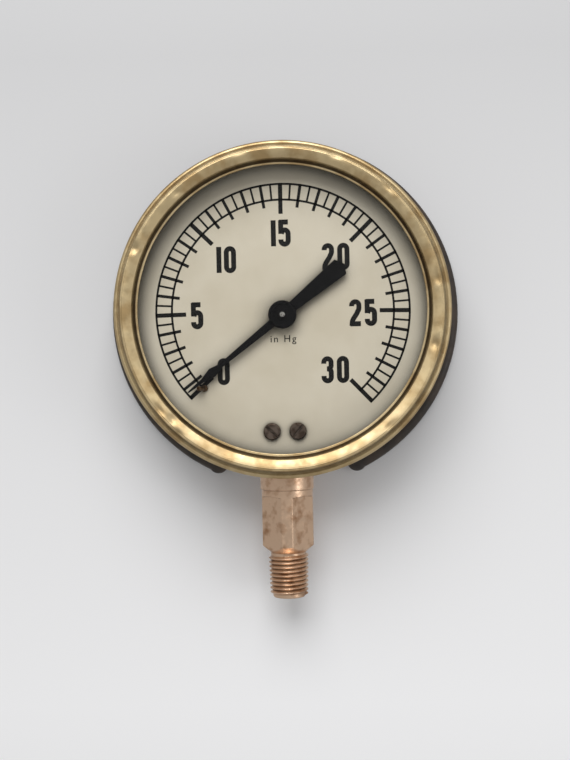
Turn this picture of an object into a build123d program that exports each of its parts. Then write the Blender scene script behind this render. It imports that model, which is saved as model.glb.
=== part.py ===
from build123d import *
import os
from math import acos, atan2, cos, degrees, hypot, pi, radians, sin, sqrt, tan

# Bottom-connection Bourdon-tube vacuum gauge, nominal dial size 3 1/2 inches, in millimetres.
# Row frame: +X to the reader's right, +Y into the gauge (the dial faces -Y), +Z up.
# The origin is the centre of the stem's lower end, and the stem's axis is the Z axis.
# Pieces of the dial and movement are drawn in the front view: x right, y up and z towards
# the reader, measured from the centre of the case. "Level" always means that front-view z.

# ---- driving dimensions -------------------------------------------------------------------
case_centre_height = 94.5       # stem's lower end to the centre of the case
movement_drop = 1.4             # pointer's shaft lies this far below the centre of the case

# case: a cast bowl with a flange at the back, interrupted at the bottom
case_wall_radius = 50.5
case_wall = 3.3
case_back_level = -13.0
case_back_thickness = 2.8
case_depth = 27.5
case_flange_width = 8.5         # beyond the case wall
case_flange_thickness = 4.5
case_flange_edge_round = 2.1
case_flange_gap_angle = 25.0    # half of the gap at six o'clock
case_flange_end_radius = 3.4
case_flange_end_proud = 0.4
case_inner_round = 2.0

# window: gasket, glass and the spun ring that holds them
gasket_thickness = 0.8
gasket_width = 3.8
glass_thickness = 2.0
glass_inset = 0.5               # glass's edge inside the outside of the case wall
glass_edge = 0.2                # chamfer round both faces
bezel_sheet = 0.85
bezel_fit = 0.15                # between the ring's skirt and the case wall
bezel_skirt_gap = 0.5           # between the ring's skirt and the collar's hole
bezel_bead_width = 2.5          # bead's rim beyond the ring's skirt
bezel_bead_thickness = 2.0
bezel_crown_height = 3.4        # crest above the glass
bezel_crown_inset = 0.5         # crest inside the outside of the case wall
bezel_overlap = 4.0             # ring over the glass's edge
bezel_slope_width = 0.9         # steep slope between the lip and the crown
bezel_slope_drop = 1.1          # crown's inner edge below its crest
bezel_groove_drop = 0.1         # groove below the bead's front
bezel_lip_width = 0.6
bezel_lip_thickness = 0.65

# dial
dial_level = 8.2                # back of the dial plate
dial_thickness = 0.8
dial_edge_gap = 0.3
dial_ledge_width = 1.3
dial_hole_radius = 3.0
dial_screw_spacing = 8.4
dial_screw_drop = 39.2          # below the centre of the case
dial_screw_head_radius = 2.75
dial_screw_head_height = 1.4
dial_screw_shank_radius = 1.5
dial_screw_length = 5.5
dial_screw_edge = 0.3           # chamfer round the head
screw_slot_width = 0.8
screw_slot_depth = 0.7
dial_screw_slot_angles = (-42.0, 50.0)

# pointer, at rest
pointer_rest_angle = 218.3      # counter-clockwise from three o'clock
pointer_sweep = 264.0           # clockwise, to the last mark
pointer_level = 11.0
pointer_thickness = 0.6
pointer_reach = 39.6
pointer_tail = 25.8             # its shallow point, on the pointer's line
pointer_tail_corner = 24.2      # where the point's sides reach the full width
pointer_root_width = 2.9
pointer_neck_width = 1.45
pointer_neck_at = 26.0
pointer_head_width = 3.2
pointer_head_at = 29.5
pointer_needle_at = 33.5
pointer_needle_width = 1.3
pointer_tip_width = 0.5
pointer_tail_width = 6.0
pointer_hub_radius = 4.55
pointer_hub_height = 1.8
pointer_hub_neck_radius = 2.0
pointer_hub_neck = 0.8          # neck behind the pointer
pointer_hub_edge = 0.3          # chamfer round the hub's face
pointer_hub_recess = 0.5
pointer_hub_recess_inner = 1.7
pointer_hub_recess_outer = 3.4

# stop pin beside the pointer's needle, bent outwards
stop_pin_radius = 0.75
stop_pin_distance = 36.0        # from the pointer's shaft
stop_pin_gap = 0.08             # between pin and needle at rest
stop_pin_height = 4.0
stop_pin_lean = 1.5             # sideways shift of its end
stop_pin_collar_radius = 1.05
stop_pin_collar_height = 0.6

# movement: two plates, pinion, toothed sector, link
gear_module = 0.35
pinion_teeth = 12
sector_full_teeth = 126         # teeth a full wheel would have
gear_backlash = 0.09
tooth_addendum = 0.8            # times the module
tooth_dedendum = 1.15           # times the module
pressure_angle = 20.0
sector_direction = 225.0        # from the pointer's shaft to the sector's arbor
sector_level = 0.0
sector_thickness = 1.0
sector_hub_radius = 4.0
sector_rim_width = 3.4
sector_side_width = 3.0
sector_tail_arm = 8.0
sector_tail_angle = 165.0
sector_tail_radius = 2.0
sector_spare_teeth = 2
plate_thickness = 1.4
back_plate_level = -3.0         # back of the back plate
front_plate_level = 3.4         # back of the front plate
plate_boss_radius = 5.0
plate_corner_radius = 3.6
pillar_radius = 1.8
pillar_places = ((9.0, -21.1), (-13.0, -24.1), (-20.9, -8.9))
plate_screw_shank_radius = 0.9
plate_screw_head_radius = 1.9
plate_screw_head_height = 1.0
plate_screw_grip = 3.0
plate_screw_slot_angles = (35.0, 75.0, 115.0)
foot_spacing = 13.0
foot_drop = 27.6                # movement screws below the pointer's shaft
movement_screw_shank_radius = 1.2
movement_screw_head_radius = 2.2
movement_screw_head_height = 1.2
movement_screw_grip = 5.0
movement_screw_slot_angles = (20.0, 80.0)
movement_screw_edge = 0.2       # chamfer round the heads in the movement
arbor_radius = 1.0
arbor_front_radius = 0.8
arbor_pivot_radius = 0.6
arbor_end_gap = 0.1             # end play between shoulders and plates
arbor_stand_out = 0.4           # shaft end in front of the pointer's hub
pinion_overlap = 0.4            # pinion face beyond each side of the sector
running_clearance = 0.05        # radial, shafts and pins
thread_clearance = 0.05         # radial, screw shanks in their holes
sector_arbor_radius = 1.4

# hairspring
hairspring_turns = 4.5
hairspring_inner_radius = 2.1
hairspring_outer_radius = 7.6
hairspring_strip = 0.18
hairspring_width = 1.0
hairspring_level = 1.8
hairspring_end_gap = 0.01       # between the spring's end and the stud
hairspring_points_per_turn = 16
hairspring_stud_direction = 250.0
hairspring_stud_radius = 0.7
collet_radius = 2.0
collet_margin = 0.1

# Bourdon tube, its tip and the link
tube_radius = 38.0              # centre line, about the pointer's shaft
tube_width = 12.0
tube_thickness = 4.0
tube_wall = 0.6
tube_end_angle = 188.0
tip_length_angle = 6.0
tip_width = 13.0
tip_thickness = 5.0
tip_lug_radius = 2.2
tip_lug_root_radius = 1.2
tip_lug_root_sink = 0.1         # lug's root inside the tip's inner face
tip_lug_lead = 4.9              # degrees past the tube's end to the lug's root
tip_pin_inset = 10.0            # tip's pin inside the tube's centre line, level with the shaft
link_width = 3.4
link_thickness = 0.8
link_gap = 0.3                  # between the link and the pieces it joins
link_pin_radius = 0.8
link_head_radius = 1.5
link_head_height = 0.6
link_open_clearance = 0.3       # round the tip's pin, where the four-bar loop is open

# socket: stem, flats, collar and the block inside the case
stem_thread_length = 14.8
stem_thread_radius = 6.65       # crests at the upper end
stem_thread_taper = 1.0 / 32.0  # on the radius, one in sixteen on the diameter
stem_thread_pitch = 25.4 / 18.0
stem_thread_depth = 0.85
stem_thread_root_gap = 0.08     # share of the pitch left flat between two ridges
stem_thread_crest = 0.125       # share of the pitch that is the crest's flat
stem_thread_sink = 0.1          # ridge's foot inside the cone of the roots
stem_end_chamfer = 0.9
stem_end_round = (0.2, 0.3)     # radius and height of the chamfer at the lower edge
stem_radius = 8.5
stem_shoulder_height = 17.1
stem_flats_width = 14.3
stem_flats_bottom = 16.5
stem_flats_top = 33.75
stem_flats_arch = 1.4
stem_neck_top = 35.75
collar_radius = 8.85
collar_clearance = 0.15
inlet_radius = 2.5
block_width = 20.0
block_top_drop = 33.0           # below the centre of the case
block_bottom_drop = 46.0
ledge_top_drop = 25.2
block_chamfer = 2.4              # clears the rounding at the bottom of the case
neck_radius = 8.0               # stem between collar and block, behind the dial
cross_passage_radius = 1.2

# screws through the back of the case into the socket's block
socket_screw_spacing = 12.0
socket_screw_drop = 38.0
socket_screw_head_radius = 4.0
socket_screw_shank_radius = 1.9
socket_screw_grip = 5.0

# ---- sizes that follow from them ----------------------------------------------------------
case_front_level = case_back_level + case_depth
case_floor_level = case_back_level + case_back_thickness
case_bore_radius = case_wall_radius - case_wall
case_flange_radius = case_wall_radius + case_flange_width
glass_radius = case_wall_radius - glass_inset
bezel_skirt_radius = case_wall_radius + bezel_fit + bezel_sheet
bezel_bead_radius = bezel_skirt_radius + bezel_bead_width
bezel_crown_radius = case_wall_radius - bezel_crown_inset
bezel_opening_radius = glass_radius - bezel_overlap
tip_pin_reach = tube_radius - tip_pin_inset
dial_bore_radius = case_bore_radius + dial_ledge_width
dial_radius = dial_bore_radius - dial_edge_gap
dial_face_level = dial_level + dial_thickness
glass_back_level = case_front_level + gasket_thickness
glass_front_level = glass_back_level + glass_thickness
pointer_front_level = pointer_level + pointer_thickness
hub_front_level = pointer_front_level + pointer_hub_height
pinion_pitch_radius = gear_module * pinion_teeth / 2
sector_pitch_radius = gear_module * sector_full_teeth / 2
gear_centres = pinion_pitch_radius + sector_pitch_radius
gear_ratio = sector_full_teeth / pinion_teeth
sector_sweep = pointer_sweep / gear_ratio
plates_gap_back = back_plate_level + plate_thickness
tube_start_angle = degrees(atan2(-sqrt(tube_radius**2 - (block_width / 2) ** 2), block_width / 2))
link_level = sector_level + sector_thickness + link_gap

FRONT_VIEW = Plane(origin=(0, 0, case_centre_height), x_dir=(1, 0, 0), z_dir=(0, -1, 0))
SHAFT = Vector(0, -movement_drop)


def polar(centre, distance, angle):
    """Point at a distance and an angle in degrees from a centre, in the front view."""
    return centre + Vector(distance * cos(radians(angle)), distance * sin(radians(angle)))


SECTOR_ARBOR = polar(SHAFT, gear_centres, sector_direction)
TAIL_PIN = polar(SECTOR_ARBOR, sector_tail_arm, sector_tail_angle)
TIP_PIN = SHAFT + Vector(-tip_pin_reach, 0)
HAIRSPRING_STUD = polar(SHAFT, hairspring_outer_radius, hairspring_stud_direction)
PILLARS = [SHAFT + Vector(x, y) for x, y in pillar_places]
FEET = [SHAFT + Vector(side * foot_spacing / 2, -foot_drop) for side in (-1, 1)]
DIAL_SCREWS = [Vector(side * dial_screw_spacing / 2, -dial_screw_drop) for side in (-1, 1)]
SOCKET_SCREWS = [Vector(side * socket_screw_spacing / 2, -socket_screw_drop) for side in (-1, 1)]


def rod(centre, radius, low, high):
    """Round bar along the gauge's depth, between two levels."""
    bar = Cylinder(radius, high - low, align=(Align.CENTER, Align.CENTER, Align.MIN))
    return Pos(centre.X, centre.Y, low) * bar


def slab(sketch, low, high):
    """A flat shape of the front view, thickened between two levels."""
    return extrude(Pos(0, 0, low) * sketch, high - low)


def turned(points):
    """Solid turned about the gauge's axis from straight (radius, level) points."""
    return revolve(Plane.XZ * make_face(Polyline(*points, close=True)), Axis.Z)


def rounded_hull(circles):
    """Flat shape stretched round a set of (centre, radius) discs."""
    rims = [(Pos(centre.X, centre.Y) * Circle(radius)).edges() for centre, radius in circles]
    return make_hull([edge for rim in rims for edge in rim])


def slot_cut(centre, width, depth, length, angle, top):
    """Screwdriver slot across a screw head."""
    bar = Box(length, width, depth, align=(Align.CENTER, Align.CENTER, Align.MAX))
    return Pos(centre.X, centre.Y, top) * Rot(0, 0, angle) * bar


# ---- case and window ----------------------------------------------------------------------
def rounded_disc(radius):
    """Disc as thick as the flange, its rim rounded over on both faces."""
    disc = slab(Circle(radius), case_back_level, case_back_level + case_flange_thickness)
    return fillet(disc.edges(), case_flange_edge_round)


def flange():
    """Back flange with a gap at six o'clock and rounded ends beside the gap."""
    centre = Vector(0, 0)
    reach = 2 * case_flange_radius
    left = polar(centre, reach, 270 - case_flange_gap_angle)
    right = polar(centre, reach, 270 + case_flange_gap_angle)
    gap = make_face(Polyline((0, 0), (left.X, left.Y), (right.X, right.Y), close=True))
    plate = rounded_disc(case_flange_radius)
    plate -= slab(gap, case_back_level, case_back_level + case_flange_thickness)
    end_distance = case_flange_radius - case_flange_end_radius + case_flange_end_proud
    for side in (-1, 1):
        end = polar(centre, end_distance, 270 + side * case_flange_gap_angle)
        plate += Pos(end.X, end.Y) * rounded_disc(case_flange_end_radius)
    return plate


def case():
    """Cast bowl with its flange, the hole for the socket's collar and the screw holes."""
    bowl = turned([
        (0, case_back_level),
        (case_wall_radius, case_back_level),
        (case_wall_radius, case_front_level),
        (dial_bore_radius, case_front_level),
        (dial_bore_radius, dial_level),
        (case_bore_radius, dial_level),
        (case_bore_radius, case_floor_level),
        (0, case_floor_level),
    ])
    floor_edge = bowl.edges().filter_by(
        lambda e: abs(e.center().Z - case_floor_level) < 0.01
        and abs(e.radius - case_bore_radius) < 0.01
    )
    body = fillet(floor_edge, case_inner_round) + flange()
    collar_hole = Cylinder(
        collar_radius + collar_clearance, case_bore_radius, rotation=(90, 0, 0)
    )
    body -= Pos(0, -case_wall_radius, 0) * collar_hole
    for place in SOCKET_SCREWS:
        body -= socket_screw_space(place, thread_clearance)
    return body


def window_gasket():
    """Flat ring between the case's edge and the glass."""
    outer = case_wall_radius - bezel_fit
    ring = Circle(outer) - Circle(outer - gasket_width)
    return slab(ring, case_front_level, glass_back_level)


def window_glass():
    """Flat glass disc with softened edges."""
    disc = slab(Circle(glass_radius), glass_back_level, glass_front_level)
    return chamfer(disc.edges(), glass_edge)


def bezel_ring():
    """Spun ring: skirt over the case, rolled bead, groove, crown and lip on the glass."""
    inner = case_wall_radius + bezel_fit
    outer = bezel_skirt_radius
    skirt_low = collar_radius + collar_clearance + bezel_skirt_gap
    bead_low = case_front_level + bezel_lip_thickness
    bead_high = bead_low + bezel_bead_thickness
    bead_middle = (bead_low + bead_high) / 2
    bead_centre = bezel_bead_radius - bezel_bead_thickness / 2
    crest = glass_front_level + bezel_crown_height
    lip_outer = bezel_opening_radius + bezel_lip_width
    lip_top = glass_front_level + bezel_lip_thickness
    slope_top = lip_outer + bezel_slope_width
    slope_high = crest - bezel_slope_drop
    groove = bead_high - bezel_groove_drop
    front = [
        Line((lip_outer, lip_top), (slope_top, slope_high)),
        ThreePointArc((slope_top, slope_high), (bezel_crown_radius, crest), (outer, groove)),
        Line((outer, groove), (bead_centre, bead_high)),
        ThreePointArc((bead_centre, bead_high), (bezel_bead_radius, bead_middle),
                      (bead_centre, bead_low)),
        Line((bead_centre, bead_low), (outer, bead_low)),
        Line((outer, bead_low), (outer, skirt_low)),
        Line((outer, skirt_low), (inner, skirt_low)),
    ]
    under_crest = crest - bezel_sheet
    under_slope = under_crest - bezel_slope_drop
    back = [
        Line((inner, skirt_low), (inner, groove)),
        ThreePointArc((inner, groove), (bezel_crown_radius, under_crest),
                      (slope_top + bezel_sheet, under_slope)),
        Line((slope_top + bezel_sheet, under_slope),
             (lip_outer + bezel_sheet, glass_front_level)),
        Line((lip_outer + bezel_sheet, glass_front_level),
             (bezel_opening_radius, glass_front_level)),
        Line((bezel_opening_radius, glass_front_level), (bezel_opening_radius, lip_top)),
        Line((bezel_opening_radius, lip_top), (lip_outer, lip_top)),
    ]
    return revolve(Plane.XZ * make_face(Curve() + front + back), Axis.Z)


# ---- dial ---------------------------------------------------------------------------------
def stop_pin_end():
    """Centre of the stop pin's end: just beside the needle's edge on its far side."""
    along = (stop_pin_distance - pointer_needle_at) / (pointer_reach - pointer_needle_at)
    needle = pointer_needle_width + along * (pointer_tip_width - pointer_needle_width)
    offset = needle / 2 + stop_pin_gap + stop_pin_radius
    on_line = polar(SHAFT, stop_pin_distance, pointer_rest_angle)
    return polar(on_line, offset, pointer_rest_angle + 90)


def stop_pin_foot():
    """Centre of the stop pin's foot in the dial plate, towards the middle of the dial."""
    return stop_pin_end() + Vector(stop_pin_lean, 0)


def dial():
    """Dial plate with its shaft hole, screw holes and the stop pin's hole."""
    foot = stop_pin_foot()
    plate = Circle(dial_radius) - Pos(SHAFT.X, SHAFT.Y) * Circle(dial_hole_radius)
    plate -= Pos(foot.X, foot.Y) * Circle(stop_pin_radius)
    for place in DIAL_SCREWS:
        plate -= Pos(place.X, place.Y) * Circle(dial_screw_shank_radius + thread_clearance)
    return slab(plate, dial_level, dial_face_level)


def dial_screws():
    """Two slotted screws that hold the dial on the socket's block."""
    top = dial_face_level + dial_screw_head_height
    screws = []
    for place, angle in zip(DIAL_SCREWS, dial_screw_slot_angles):
        head = rod(place, dial_screw_head_radius, dial_face_level, top)
        head = chamfer(head.edges().group_by(Axis.Z)[-1], dial_screw_edge)
        shank = rod(place, dial_screw_shank_radius, dial_level - dial_screw_length, dial_face_level)
        width = 3 * dial_screw_head_radius
        screws.append(head + shank
                      - slot_cut(place, screw_slot_width, screw_slot_depth, width, angle, top))
    return Compound(children=screws)


def stop_pin():
    """Bent pin with a small collar, riveted in the dial plate."""
    foot = stop_pin_foot()
    end = stop_pin_end()
    start = Vector(foot.X, foot.Y, dial_face_level)
    finish = Vector(end.X, end.Y, dial_face_level + stop_pin_height)
    lean = finish - start
    shaft = extrude(Plane(origin=start, z_dir=lean) * Circle(stop_pin_radius), lean.length)
    collar = rod(foot, stop_pin_collar_radius, dial_face_level,
                 dial_face_level + stop_pin_collar_height)
    rivet = rod(foot, stop_pin_radius, dial_level, dial_face_level)
    low_cut = rod(foot, 3 * stop_pin_radius, dial_level - 2, dial_face_level)
    return (shaft - low_cut) + collar + rivet


# ---- pointer and pinion -------------------------------------------------------------------
def pointer_side():
    """Edge points of one side of the pointer, from the tail's corner to the needle's tip."""
    return [
        (-pointer_tail_corner, pointer_tail_width / 2),
        (0, pointer_root_width / 2),
        (pointer_neck_at, pointer_neck_width / 2),
        (pointer_head_at, pointer_head_width / 2),
        (pointer_needle_at, pointer_needle_width / 2),
        (pointer_reach, pointer_tip_width / 2),
    ]


def pointer():
    """Flat two-ended pointer, riveted round its hub's neck."""
    upper = pointer_side()
    lower = [(x, -y) for x, y in reversed(upper)]
    outline = Polyline(*upper, *lower, (-pointer_tail, 0), close=True)
    blade = make_face(outline) + Circle(pointer_hub_radius - pointer_hub_edge)
    blade -= Circle(pointer_hub_neck_radius)
    placed = Pos(SHAFT.X, SHAFT.Y) * Rot(0, 0, pointer_rest_angle) * blade
    return slab(placed, pointer_level, pointer_front_level)


def pointer_hub():
    """Turned hub with a ring-shaped recess in its face, bored for the shaft."""
    hub = rod(SHAFT, pointer_hub_radius, pointer_front_level, hub_front_level)
    hub = chamfer(hub.edges().group_by(Axis.Z)[-1], pointer_hub_edge)
    neck = rod(SHAFT, pointer_hub_neck_radius, pointer_level - pointer_hub_neck, pointer_front_level)
    recess = rod(SHAFT, pointer_hub_recess_outer, hub_front_level - pointer_hub_recess,
                 hub_front_level)
    recess -= rod(SHAFT, pointer_hub_recess_inner, hub_front_level - pointer_hub_recess,
                  hub_front_level)
    bore = rod(SHAFT, arbor_front_radius, pointer_level - 1, hub_front_level + 1)
    return hub + neck - recess - bore


def involute_flank(teeth, thinning):
    """Right-hand flank of a tooth centred on angle 0, as (radius, angle in radians) points."""
    pitch_radius = gear_module * teeth / 2
    base_radius = pitch_radius * cos(radians(pressure_angle))
    root_radius = pitch_radius - tooth_dedendum * gear_module
    tip_radius = pitch_radius + tooth_addendum * gear_module
    half_tooth = pi / (2 * teeth) - thinning / (2 * pitch_radius)
    pitch_involute = tan(radians(pressure_angle)) - radians(pressure_angle)
    low = max(base_radius, root_radius)
    points = [(root_radius, half_tooth + pitch_involute)] if root_radius < base_radius else []
    steps = 5
    for step in range(steps + 1):
        radius = low + (tip_radius - low) * step / steps
        roll = acos(base_radius / radius)
        points.append((radius, half_tooth + pitch_involute - (tan(roll) - roll)))
    return points


def tooth(teeth, direction, thinning, sink):
    """One involute tooth whose foot is sunk into the wheel's body."""
    flank = involute_flank(teeth, thinning)
    flank = [(flank[0][0] - sink, flank[0][1])] + flank
    side = [(r * cos(a), r * sin(a)) for r, a in flank]
    other = [(x, -y) for x, y in reversed(side)]
    return Rot(0, 0, direction) * make_face(Polyline(*side, *other, close=True))


def pinion_arbor():
    """Pointer's shaft: pivots, shoulders and the pinion cut on it."""
    low = plates_gap_back + arbor_end_gap
    high = front_plate_level - arbor_end_gap
    shaft = rod(Vector(0, 0), arbor_pivot_radius, back_plate_level, low)
    shaft += rod(Vector(0, 0), arbor_radius, low, high)
    shaft += rod(Vector(0, 0), arbor_front_radius, high, hub_front_level + arbor_stand_out)
    root_radius = pinion_pitch_radius - tooth_dedendum * gear_module
    wheel = Circle(root_radius)
    pitch_step = 360 / pinion_teeth
    for number in range(pinion_teeth):
        direction = sector_direction + (number + 0.5) * pitch_step
        wheel += tooth(pinion_teeth, direction, gear_backlash / 2, root_radius / 4)
    face_low = sector_level - pinion_overlap
    face_high = sector_level + sector_thickness + pinion_overlap
    shaft += slab(wheel, face_low, face_high)
    return Pos(SHAFT.X, SHAFT.Y) * shaft


# ---- sector and link ----------------------------------------------------------------------
def sector_gear():
    """Toothed sector with a lightening window and a tail for the link."""
    pitch_step = 360 / sector_full_teeth
    facing = sector_direction + 180
    needed = int(sector_sweep / pitch_step) + 1
    first = -(needed + sector_spare_teeth)
    last = sector_spare_teeth
    root_radius = sector_pitch_radius - tooth_dedendum * gear_module
    low_angle = facing + (first - 0.5) * pitch_step
    high_angle = facing + (last + 0.5) * pitch_step
    fan = fan_shape(0, root_radius, low_angle, high_angle)
    for number in range(first, last + 1):
        fan += tooth(sector_full_teeth, facing + number * pitch_step, gear_backlash / 2, 0.5)
    window_outer = root_radius - sector_rim_width
    window_inner = sector_hub_radius + sector_side_width
    trim = degrees(sector_side_width / window_outer)
    fan -= fan_shape(window_inner, window_outer, low_angle + trim, high_angle - trim)
    tail_end = polar(Vector(0, 0), sector_tail_arm, sector_tail_angle)
    fan += rounded_hull([(Vector(0, 0), sector_hub_radius), (tail_end, sector_tail_radius)])
    fan -= Circle(sector_arbor_radius)
    fan -= Pos(tail_end.X, tail_end.Y) * Circle(link_pin_radius)
    placed = Pos(SECTOR_ARBOR.X, SECTOR_ARBOR.Y) * fan
    return slab(placed, sector_level, sector_level + sector_thickness)


def fan_shape(inner, outer, low_angle, high_angle):
    """Ring segment between two radii and two angles."""
    middle = (low_angle + high_angle) / 2
    origin = Vector(0, 0)
    points = {
        (radius, angle): polar(origin, radius, angle)
        for radius in (inner, outer) for angle in (low_angle, middle, high_angle)
    }
    edges = [
        Line(points[inner, low_angle], points[outer, low_angle]),
        ThreePointArc(*(points[outer, angle] for angle in (low_angle, middle, high_angle))),
        Line(points[outer, high_angle], points[inner, high_angle]),
    ]
    if inner > 0:
        arc = ThreePointArc(*(points[inner, angle] for angle in (high_angle, middle, low_angle)))
        edges.append(arc)
    return make_face(Curve() + edges)


def sector_arbor():
    """Shaft that the sector is riveted to, pivoted in both plates."""
    low = plates_gap_back + arbor_end_gap
    high = front_plate_level - arbor_end_gap
    shaft = rod(SECTOR_ARBOR, sector_arbor_radius, low, high)
    shaft += rod(SECTOR_ARBOR, arbor_pivot_radius, back_plate_level, low)
    return shaft + rod(SECTOR_ARBOR, arbor_pivot_radius, high, front_plate_level + plate_thickness)


def link():
    """Flat bar from the tube's tip to the sector's tail."""
    bar = rounded_hull([(TIP_PIN, link_width / 2), (TAIL_PIN, link_width / 2)])
    bar -= Pos(TAIL_PIN.X, TAIL_PIN.Y) * Circle(link_pin_radius + running_clearance)
    bar -= Pos(TIP_PIN.X, TIP_PIN.Y) * Circle(link_pin_radius + link_open_clearance)
    return slab(bar, link_level, link_level + link_thickness)


def link_pin(place):
    """Headed pin through one end of the link."""
    head_level = link_level + link_thickness + link_gap / 2
    shank = rod(place, link_pin_radius, sector_level - link_gap, head_level)
    head = rod(place, link_head_radius, head_level, head_level + link_head_height)
    return shank + chamfer(head.edges().group_by(Axis.Z)[-1], 0.15)


# ---- movement frame -----------------------------------------------------------------------
def plate_outline(with_feet):
    """Outline shared by both movement plates; the back one also has feet."""
    discs = [(SHAFT, plate_boss_radius), (SECTOR_ARBOR, plate_boss_radius)]
    discs += [(place, plate_corner_radius) for place in PILLARS]
    if with_feet:
        discs += [(place, plate_corner_radius) for place in FEET]
    return rounded_hull(discs)


def movement_back_plate():
    """Plate behind the sector, screwed on the ledge of the socket's block."""
    through = (back_plate_level, plates_gap_back)
    plate = slab(plate_outline(True), *through)
    for place in (SHAFT, SECTOR_ARBOR):
        plate -= rod(place, arbor_pivot_radius + running_clearance, *through)
    for place in FEET:
        plate -= rod(place, movement_screw_shank_radius + thread_clearance, *through)
    return plate


def movement_front_plate():
    """Plate in front of the sector, screwed to the pillars."""
    through = (front_plate_level, front_plate_level + plate_thickness)
    plate = slab(plate_outline(False), *through)
    plate -= rod(SHAFT, arbor_front_radius + running_clearance, *through)
    plate -= rod(SECTOR_ARBOR, arbor_pivot_radius + running_clearance, *through)
    plate -= rod(HAIRSPRING_STUD, hairspring_stud_radius, *through)
    for place in PILLARS:
        plate -= rod(place, plate_screw_shank_radius + thread_clearance, *through)
    return plate


def movement_pillars():
    """Spacers between the plates, tapped for the plate screws."""
    pillars = []
    for place in PILLARS:
        pillar = rod(place, pillar_radius, plates_gap_back, front_plate_level)
        hole = rod(place, plate_screw_shank_radius + thread_clearance,
                   front_plate_level - plate_screw_grip, front_plate_level)
        pillars.append(pillar - hole)
    return Compound(children=pillars)


def slotted_screw(place, shank_radius, head_radius, head_height, seat, grip, angle):
    """Slotted cheese-head screw whose head rests at a level and whose shank goes back."""
    top = seat + head_height
    head = rod(place, head_radius, seat, top)
    head = chamfer(head.edges().group_by(Axis.Z)[-1], movement_screw_edge)
    shank = rod(place, shank_radius, seat - grip, seat)
    return head + shank - slot_cut(place, screw_slot_width, head_height / 2, 3 * head_radius,
                                   angle, top)


def plate_screws():
    """Screws through the front plate into the pillars."""
    seat = front_plate_level + plate_thickness
    grip = plate_thickness + plate_screw_grip
    return Compound(children=[
        slotted_screw(place, plate_screw_shank_radius, plate_screw_head_radius,
                      plate_screw_head_height, seat, grip, angle)
        for place, angle in zip(PILLARS, plate_screw_slot_angles)
    ])


def movement_screws():
    """Screws through the back plate's feet into the ledge of the socket's block."""
    grip = plate_thickness + movement_screw_grip
    return Compound(children=[
        slotted_screw(place, movement_screw_shank_radius, movement_screw_head_radius,
                      movement_screw_head_height, plates_gap_back, grip, angle)
        for place, angle in zip(FEET, movement_screw_slot_angles)
    ])


# ---- hairspring ---------------------------------------------------------------------------
def spiral_edge(offset):
    """One edge of the hairspring's strip, drawn about the shaft, at a radial offset."""
    start = hairspring_stud_direction - 360 * hairspring_turns
    end_trim = degrees((hairspring_stud_radius + hairspring_end_gap) / hairspring_outer_radius)
    points = []
    steps = hairspring_points_per_turn * int(hairspring_turns + 1)
    for step in range(steps + 1):
        part = step / steps
        angle = start + part * (360 * hairspring_turns - end_trim)
        radius = hairspring_inner_radius + offset + part * (
            hairspring_outer_radius - hairspring_inner_radius)
        points.append(polar(SHAFT, radius, angle))
    return Spline(*points)


def hairspring():
    """Flat spiral spring from the collet to the stud."""
    inner = spiral_edge(-hairspring_strip / 2)
    outer = spiral_edge(hairspring_strip / 2)
    ends = [Line(inner @ 0, outer @ 0), Line(inner @ 1, outer @ 1)]
    strip = make_face(Curve() + [inner, outer] + ends)
    return slab(strip, hairspring_level, hairspring_level + hairspring_width)


def hairspring_collet():
    """Ring on the shaft that holds the spring's inner end."""
    ring = Circle(collet_radius) - Circle(arbor_radius)
    placed = Pos(SHAFT.X, SHAFT.Y) * ring
    return slab(placed, hairspring_level - collet_margin,
                hairspring_level + hairspring_width + collet_margin)


def hairspring_stud():
    """Post in the front plate that holds the spring's outer end."""
    return rod(HAIRSPRING_STUD, hairspring_stud_radius, hairspring_level - collet_margin,
               front_plate_level + plate_thickness)


# ---- Bourdon tube -------------------------------------------------------------------------
def swept_section(width, thickness, corner, low_angle, high_angle):
    """Rounded rectangle carried round the shaft's axis between two angles."""
    section = RectangleRounded(thickness, width, corner)
    face = Plane.XZ * Pos(tube_radius, 0) * section
    return Pos(SHAFT.X, SHAFT.Y) * Rot(0, 0, low_angle) * revolve(
        face, Axis.Z, high_angle - low_angle)


def bourdon_tube():
    """Flattened C-shaped tube, soldered to the block's side and closed by its tip."""
    run_in = 4.0
    low = tube_start_angle - run_in
    outer = swept_section(tube_width, tube_thickness, tube_thickness / 2 - 0.05,
                          low, tube_end_angle)
    inner_thickness = tube_thickness - 2 * tube_wall
    inner = swept_section(tube_width - 2 * tube_wall, inner_thickness,
                          inner_thickness / 2 - 0.05, low, tube_end_angle)
    beyond = Pos(0, -tube_radius, 0) * Box(block_width, tube_radius, 2 * tube_width)
    return outer - inner - beyond


def tube_tip():
    """Cap on the tube's end, with a flat lug that carries the link's pin."""
    cap = swept_section(tip_width, tip_thickness, 1.0, tube_end_angle,
                        tube_end_angle + tip_length_angle)
    root = polar(SHAFT, tube_radius - tube_thickness / 2 - tip_lug_root_sink,
                 tube_end_angle + tip_lug_lead)
    lug = rounded_hull([(TIP_PIN, tip_lug_radius), (root, tip_lug_root_radius)])
    lug -= Pos(TIP_PIN.X, TIP_PIN.Y) * Circle(link_pin_radius)
    return cap + slab(lug, sector_level, sector_level + sector_thickness)


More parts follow.
